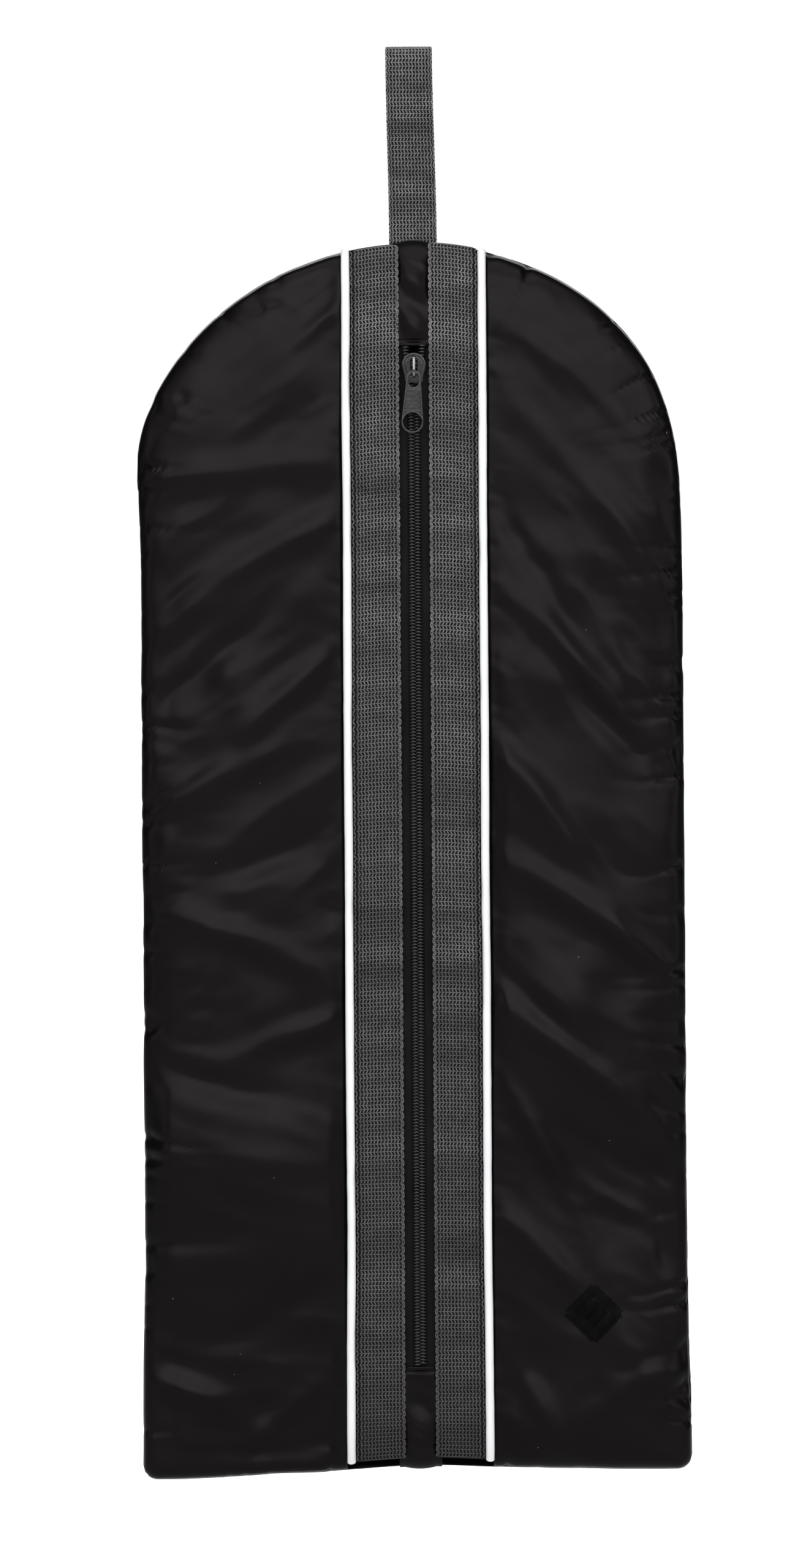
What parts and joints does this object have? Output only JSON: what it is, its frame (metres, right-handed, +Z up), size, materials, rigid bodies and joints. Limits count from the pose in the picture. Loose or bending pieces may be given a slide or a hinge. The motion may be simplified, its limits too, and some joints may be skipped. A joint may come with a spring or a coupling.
{
  "type": "golf shoe bag",
  "caption": "Flat padded fabric shoe bag with an arched top, hung from a webbing loop, with a full-length centre zip between two piped webbing strips on its front.",
  "frame": {"origin": "underside of the top fold of the hanging loop, where a hook or peg carries the bag, on the centre line", "axes": "+Z up towards the loop, front (zip side) towards -Y, +X to the right as one faces the front"},
  "size_m": [0.221, 0.0302, 0.5812],
  "materials": {
    "black_satin": "satin woven nylon",
    "wadding": "soft wadding",
    "lining": "thin plain-woven lining",
    "grey_webbing": "herringbone webbing",
    "white_piping": "smooth satin piping",
    "piping_cord": "cotton cord",
    "binding": "seam binding",
    "zip_tape": "twill zip tape",
    "zip_nylon": "satin nylon coil",
    "black_metal": "satin black",
    "black_thread": "glossy embroidery thread"
  },
  "bodies": {
    "hang_loop": {"hang_loop": "grey_webbing"},
    "bag": {"loop_tail": "grey_webbing", "back_panel": "black_satin", "back_padding": "wadding", "back_lining": "lining", "front_panel_left": "black_satin", "front_panel_right": "black_satin", "front_padding_left": "wadding", "front_padding_right": "wadding", "front_lining_left": "lining", "front_lining_right": "lining", "perimeter_seam": "binding", "webbing_strip_left": "grey_webbing", "webbing_strip_right": "grey_webbing", "piping_cover_left": "white_piping", "piping_cover_right": "white_piping", "piping_cord_left": "piping_cord", "piping_cord_right": "piping_cord", "zip_end_patch_top": "black_satin", "zip_end_patch_bottom": "black_satin", "embroidered_motif": "black_thread"},
    "zip_slider": {"slider_body": "black_metal", "slider_bridge": "black_metal"},
    "zip_pull": {"pull_tab": "black_metal"},
    "zip_lip_left": {"zip_coil_left": "zip_nylon", "zip_tape_left": "zip_tape"},
    "zip_lip_right": {"zip_coil_right": "zip_nylon", "zip_tape_right": "zip_tape"}
  },
  "joints": [
    {"name": "loop_fold", "type": "hinge", "parent": "hang_loop", "child": "bag", "pos_m": [0, 0, -0.0774], "axis": [1, 0, 0], "range_deg": [-85, 85]},
    {"name": "slider_travel", "type": "slide", "parent": "bag", "child": "zip_slider", "axis": [0, 0, -1], "range_m": [0, 0.398]},
    {"name": "pull_swing", "type": "hinge", "parent": "zip_slider", "child": "zip_pull", "pos_m": [0, -0.0161, -0.1316], "axis": [-1, 0, 0], "range_deg": [0, 145]},
    {"name": "lip_left_part", "type": "slide", "parent": "bag", "child": "zip_lip_left", "axis": [-1, 0, 0], "range_m": [0, 0.0026], "deforming": ["zip_coil_left", "zip_tape_left"]},
    {"name": "lip_right_part", "type": "slide", "parent": "bag", "child": "zip_lip_right", "axis": [1, 0, 0], "range_m": [0, 0.0026], "deforming": ["zip_coil_right", "zip_tape_right"]}
  ],
  "couplings": [
    {"joint": "lip_left_part", "follows": "slider_travel", "ratio": 0.0065},
    {"joint": "lip_right_part", "follows": "slider_travel", "ratio": 0.0065}
  ]
}
